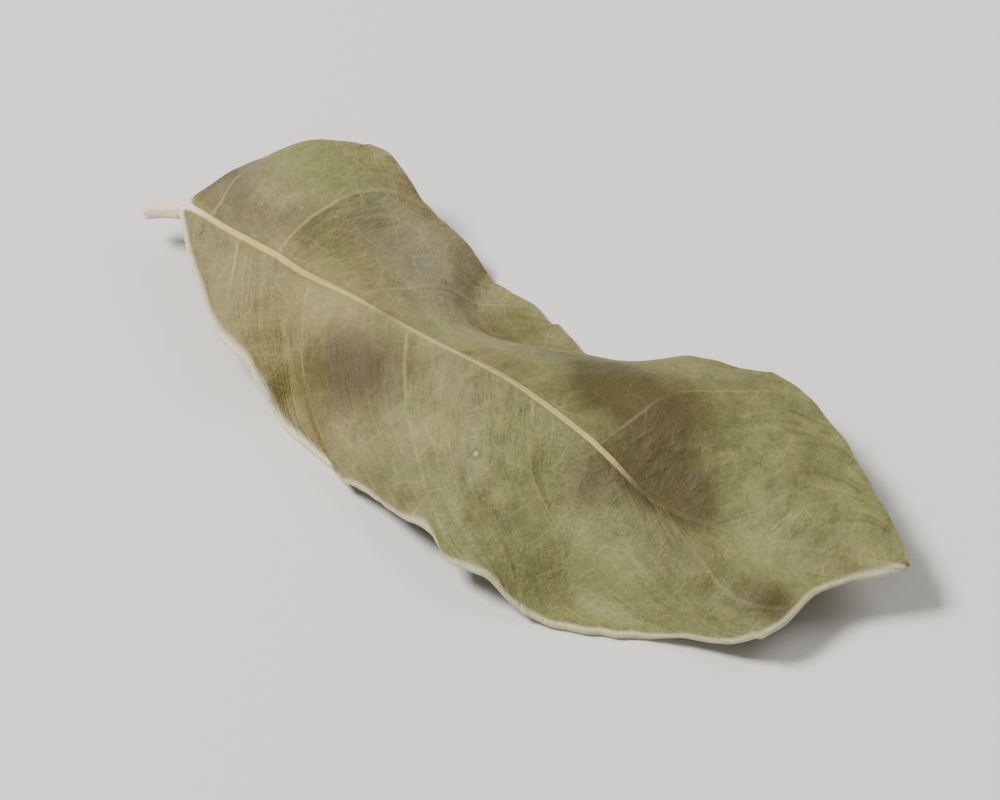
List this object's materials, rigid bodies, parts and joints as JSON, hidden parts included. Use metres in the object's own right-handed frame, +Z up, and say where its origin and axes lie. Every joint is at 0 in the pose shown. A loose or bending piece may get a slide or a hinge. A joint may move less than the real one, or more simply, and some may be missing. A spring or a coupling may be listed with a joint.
{
  "type": "moringa leaf",
  "caption": "One dried moringa leaflet lying arched on a surface, with a short pale stalk, a raised midrib and side veins, and wavy edges.",
  "frame": {"origin": "middle of the leaf's outline, on the surface that it lies on", "axes": "+X along the midrib from the stalk to the tip, +Y across the blade, +Z up"},
  "size_m": [0.0284, 0.012, 0.0037],
  "materials": {
    "dry_leaf": "dull, finely wrinkled dry leaf, olive to brown with pale cream veins, edge and stalk"
  },
  "bodies": {
    "root": {"leaf": "dry_leaf"}
  },
  "joints": []
}
